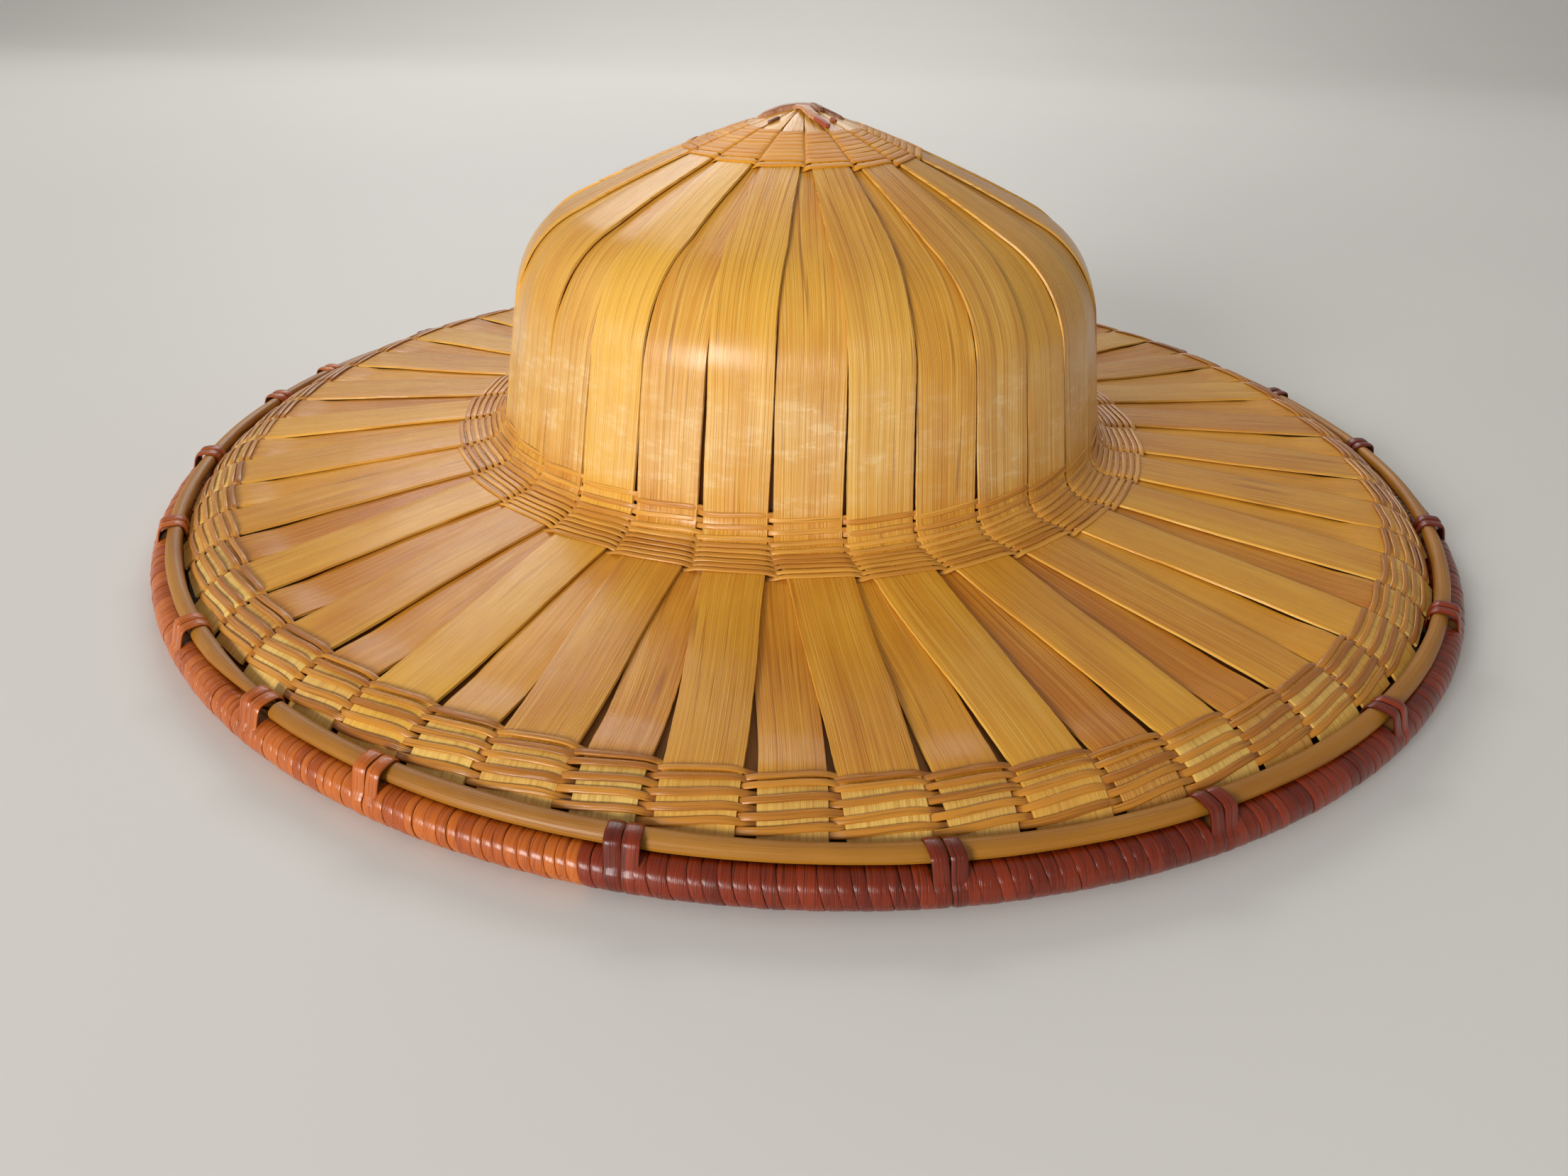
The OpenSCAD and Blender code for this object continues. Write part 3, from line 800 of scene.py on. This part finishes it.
def smooth_loop(points, n):
    """A closed curve through the points, evenly spaced."""
    p = np.array(points, float)
    m = len(p)
    out = []
    for i in range(m):
        p0, p1, p2, p3 = p[i - 1], p[i], p[(i + 1) % m], p[(i + 2) % m]
        for t in np.linspace(0, 1, 12, endpoint=False):
            out.append(
                0.5 * (2 * p1 + (p2 - p0) * t + (2 * p0 - 5 * p1 + 4 * p2 - p3) * t * t
                       + (3 * p1 - p0 - 3 * p2 + p3) * t ** 3)
            )
    out = np.array(out)
    closed = np.vstack([out, out[:1]])
    d = np.concatenate([[0], np.cumsum(np.linalg.norm(np.diff(closed, axis=0), axis=1))])
    q = np.linspace(0, d[-1], n, endpoint=False)
    return np.stack([np.interp(q, d, closed[:, k]) for k in range(closed.shape[1])], -1)


def lashings():
    """At each lashing two turns of the peel go up over the top hoop and down through the weave."""
    dark, tan = Builder(), Builder()
    top_z = TOP_HI[2]
    t = 0.6
    R = TUBE_R - t * 0.5 - 0.04
    for i, at in enumerate(LASH_AT):
        for side in (-1, 1):
            seed = i * 3.1 + side
            pts = [(HOOP_R + R * math.cos(math.radians(d)), TUBE_Z + R * math.sin(math.radians(d)), u)
                   for d, u in ((-100, 0.9), (-70, 0.9), (-40, 0.8), (-10, 0.5), (20, 0.2), (48, 0.0))]
            pts += [
                (HOOP_R + 1.1, top_z - 0.35, -0.3), (HOOP_R - 0.6, top_z + 0.38, -0.6),
                (HOOP_R - 2.6, top_z + 0.42, -0.8), (TOP_IN + 0.6, top_z + 0.2, -1.0),
                (TOP_IN - 0.45, top_z - 0.9, -1.0), (TOP_IN - 0.7, top_z - 3.6, -0.8),
                (TOP_IN - 0.7, 6.6, -0.5), (TOP_IN - 2.4, 5.5, -0.3), (HOOP_R - 9.5, 4.2, 0),
                (HOOP_R - 9.2, 2.7, 0.2), (HOOP_R - 7.6, 1.75, 0.5), (HOOP_R - 4.4, 1.0, 0.7),
            ]
            loop = smooth_loop(pts, 72)
            fan = 1 + 0.10 * ramp(loop[:, 1], 8, 13)
            off = side * (LASH_W / 2 + 0.08) * fan + loop[:, 2] * (0.55 + 0.5 * pick(i, 2)) - 0.2
            a = math.radians(at) + off / HOOP_R
            path = np.stack([loop[:, 0] * np.cos(a), loop[:, 0] * np.sin(a), loop[:, 1]], -1)
            centre = polar(HOOP_R - 2.2, np.degrees(a), 6.0)
            sw, sn = loop_frames(path, path - centre)
            w = (LASH_W + 0.15) * (1 + 0.10 * (pick(seed, 1) - 0.5))
            cx = np.array([-0.5, -0.49, -0.38, -0.18, 0.05, 0.26, 0.42, 0.5, 0.5, 0.0]) * w
            cy = np.array([-0.5, -0.05, 0.30, 0.46, 0.5, 0.47, 0.34, 0.05, -0.5, -0.5]) * t
            rings = place(path, cx[None, :], cy[None, :], sw, sn)
            # painted shade along the strap's edges, where it meets its neighbour
            groove = np.array([1, 0.7, 0.2, 0, 0, 0, 0.2, 0.7, 1, 1])
            look = np.zeros((len(path), len(cx), 3))
            look[..., 0] = pick(seed, 5)
            look[..., 1] = groove[None, :]
            b = tan if is_tan(at) else dark
            n = len(path)
            across = np.repeat(cx[None, :], n, 0)
            b.tube(rings, across, np.linspace(0, 45, n), seed * 5.1, look, closed=True)
    dark.make("rim_lashings_dark", ["lashings_dark"], "peel_dark", M_DARK)
    tan.make("rim_lashings_tan", ["lashings_tan"], "peel_tan", M_TAN)


hoops()
wrap_turns()
lashings()


# ------------------------------------------------------------------ tie over the tip
def cord_path(points, n):
    """n points evenly along a line through the given ones, then smoothed."""
    p = np.array(points, float)
    d = np.concatenate([[0], np.cumsum(np.linalg.norm(np.diff(p, axis=0), axis=1))])
    q = np.linspace(0, d[-1], n)
    raw = np.stack([np.interp(q, d, p[:, k]) for k in range(3)], -1)
    for _ in range(max(2, n // 9)):
        raw[1:-1] = (raw[:-2] + 2 * raw[1:-1] + raw[2:]) / 4
    return raw


def peel_strand(b, points, w, t, seed, n=60, tone=0.4, taper=0.25, stain=0.0):
    """One strand of peel laid along points, thinner at both ends."""
    path = cord_path(points, n)
    up = path - np.array([0, 0, 60.0])
    f = np.linspace(0, 1, n)
    shrink = np.minimum(1, taper + (1 - taper) * np.minimum(f, 1 - f) * 8)
    cx, cy = weaver_section(1.0, 1.0)
    xs = cx[None, :] * (w * shrink * (1 + wobble(f * 20, seed, 6, 0.12)))[:, None]
    ys = (cy[None, :] - 0.3) * (t * (0.5 + 0.5 * shrink))[:, None]
    rings = sweep(path, up, xs, ys)
    b.tube(rings, xs, f * 25, seed, (tone, 0.0, stain))


def tip_tie():
    """Peel laid across the tip, an end brought down the front, and the binding round both."""
    def on(r, deg, rise):
        """A point over the strips at radius r and angle deg."""
        _, z, _ = line(r)
        a = math.radians(deg)
        return (r * math.cos(a), r * math.sin(a), float(z) + rise)

    flat = float(line(4.5)[1])
    b = Builder()
    # two thick twisted strands from the left, over the tip and down to the right
    peel_strand(b, [on(13.2, 186, -0.5), on(9.5, 187, -0.1), on(6.5, 186, 0.1), (-3.0, -0.7, flat + 0.1),
                    (-0.4, -1.0, flat + 0.28), (1.8, -1.0, flat + 0.2), (3.6, -1.2, flat - 0.2),
                    on(5.4, -28, -0.4)], 3.3, 2.0, 3.3, tone=0.45)
    peel_strand(b, [on(11.5, 178, -0.4), on(6, 176, 0.1), (-2.4, 0.9, flat + 0.15), (0.8, 1.0, flat + 0.3),
                    (3.4, 0.8, flat), on(5.8, 12, -0.3)], 3.0, 1.9, 4.4, tone=0.65)
    # the wad they make where they cross
    peel_strand(b, [on(4.2, 205, -0.2), (-1.2, -1.9, flat - 0.1), (1.2, -2.4, flat + 0.1),
                    (3.4, -2.3, flat - 0.3), on(5.6, -30, -0.3)], 2.2, 1.9, 4.6, n=40, tone=0.3)
    peel_strand(b, [(0.4, 1.4, flat + 0.1), (2.6, 0.4, flat + 0.5), (4.4, -0.8, flat - 0.1),
                    on(5.9, -22, -0.5)], 2.6, 1.8, 4.7, n=36, tone=0.9)
    peel_strand(b, [(2.2, 0.0, flat + 0.3), on(5.4, -6, 0.2), on(8.5, -10, 0.0), on(12.0, -13, -0.3)],
                2.0, 1.2, 4.9, tone=1.1)
    b.make("tip_tie_lower_peel", ["tip_tie_lower"], "peel_dark", M_TIE)
    b = Builder()
    # a flat end lying down the front, its cut end red, and two stubs that show beside it
    peel_strand(b, [(-2.0, -0.6, flat + 0.75), (-1.0, -2.2, flat + 0.7), on(4.4, -84, 0.75),
                    on(7.5, -74, 0.7), on(11.0, -69, 0.5)], 3.3, 1.0, 5.5, tone=-0.1, taper=0.75)
    peel_strand(b, [on(9.6, -71, 0.55), on(12.5, -66, 0.5), on(15.5, -62, 0.2)], 2.5, 0.9, 5.9, n=20,
                tone=0.4, taper=0.5, stain=0.85)
    peel_strand(b, [on(14.2, 226, 0.0), on(12.2, 228, 0.15), on(10.4, 230, 0.1)], 1.5, 0.8, 6.5,
                n=18, tone=1.5)
    peel_strand(b, [on(12.4, -42, 0.0), on(10.6, -39, 0.25)], 1.5, 0.9, 7.5, n=16, tone=0.8, stain=0.4)
    b.make("tip_tie_upper_peel", ["tip_tie_upper"], "peel_dark", M_TIE)
    b = Builder()
    for k in range(3):
        x = 0.5 + k * 1.15
        ring = []
        for d in range(-25, 215, 12):
            c = math.radians(d)
            rise = 2.0 * max(math.sin(c), -0.3)
            ring.append((x + 0.35 * math.cos(c), 2.6 * math.cos(c), flat - 0.9 + rise))
        path = np.array(ring)
        up = path - np.array([x, 0, flat - 1.2])
        cx, cy = weaver_section(1.3, 0.42)
        n = len(path)
        rings = sweep(path, up, np.repeat(cx[None, :], n, 0), np.repeat(cy[None, :], n, 0))
        b.tube(rings, np.repeat(cx[None, :], n, 0), np.arange(n) * 0.6, 8.0 + k, (0.75 - 0.2 * k, 0, 0.25))
    b.make("tip_tie_binding", ["tip_loop"], "peel_tan", M_TIE)


tip_tie()

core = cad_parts["hoop_core"]
core.data.materials.clear()
core.data.materials.append(M_LINING)


# ------------------------------------------------------------------ stage, light, camera
VIEW_RIGHT = (0.99913916, 0.03370532, 0.02418443)
VIEW_FORWARD = (-0.01646937, 0.85735148, -0.51446787)
VIEW_FROM = (0.0, -0.33305, 0.15123)
VIEW_LENS = 23.97


def stage():
    """A pale floor that curves up into a wall behind the hat."""
    me = bpy.data.meshes.new("floor")
    pts, quads = [], []
    ys = [-3.0, 1.6] + [1.6 + 0.9 * math.sin(math.radians(a)) for a in range(10, 91, 10)] + [2.5]
    zs = [0.0, 0.0] + [0.9 - 0.9 * math.cos(math.radians(a)) for a in range(10, 91, 10)] + [4.0]
    for y, z in zip(ys, zs):
        pts += [(-5, y, z - 0.0002), (5, y, z - 0.0002)]
    for i in range(len(ys) - 1):
        quads.append((2 * i, 2 * i + 1, 2 * i + 3, 2 * i + 2))
    me.from_pydata(pts, [], quads)
    me.polygons.foreach_set("use_smooth", [True] * len(me.polygons))
    ob = bpy.data.objects.new("floor", me)
    bpy.context.scene.collection.objects.link(ob)
    q = Nodes("floor_pale")
    pos = q.new("TexCoord").outputs["Object"]
    q.put(q.bsdf.inputs["Base Color"], q.mix(q.noise(pos, 3.0, 3.0), lin(218, 217, 214), lin(224, 223, 220)))
    q.bsdf.inputs["Roughness"].default_value = 0.55
    me.materials.append(q.m)


def lamp(name, loc, target, size, power, colour):
    """An area lamp at loc, turned to target."""
    d = bpy.data.lights.new(name, "AREA")
    d.shape = "RECTANGLE"
    d.size, d.size_y = size
    d.energy = power
    d.color = colour
    ob = bpy.data.objects.new(name, d)
    ob.location = loc
    ob.rotation_mode = "QUATERNION"
    ob.rotation_quaternion = (Vector(target) - Vector(loc)).to_track_quat("-Z", "Y")
    bpy.context.scene.collection.objects.link(ob)


def lights():
    """A soft window light from the front left, a weak one from the left, one from behind, a pale world."""
    lamp("window", (-1.06, -1.58, 0.60), (0, 0, 0.06), (0.66, 0.52), 30.0, (1.0, 0.985, 0.955))
    lamp("left", (-1.9, 0.4, 0.95), (0, 0, 0.05), (1.1, 0.9), 2.0, (1.0, 0.96, 0.90))
    lamp("back", (-0.3, 1.7, 1.2), (0, 0, 0.05), (1.6, 0.7), 16.0, (1.0, 0.99, 0.97))
    w = bpy.data.worlds.new("studio")
    w.use_nodes = True
    w.node_tree.nodes["Background"].inputs[0].default_value = (1.0, 0.965, 0.91, 1)
    w.node_tree.nodes["Background"].inputs[1].default_value = 0.35
    bpy.context.scene.world = w


def camera():
    """A wide lens, in front of the hat and a little above it."""
    right = Vector(VIEW_RIGHT)
    forward = Vector(VIEW_FORWARD)
    up = right.cross(forward)
    c = bpy.data.cameras.new("view")
    c.sensor_width = 36.0
    c.lens = VIEW_LENS
    c.clip_start, c.clip_end = 0.01, 50
    ob = bpy.data.objects.new("view", c)
    m = Matrix((right, up, -forward)).transposed().to_4x4()
    m.translation = Vector(VIEW_FROM)
    ob.matrix_world = m
    bpy.context.scene.collection.objects.link(ob)
    bpy.context.scene.camera = ob


stage()
lights()
camera()
bpy.context.scene.view_settings.view_transform = "Standard"
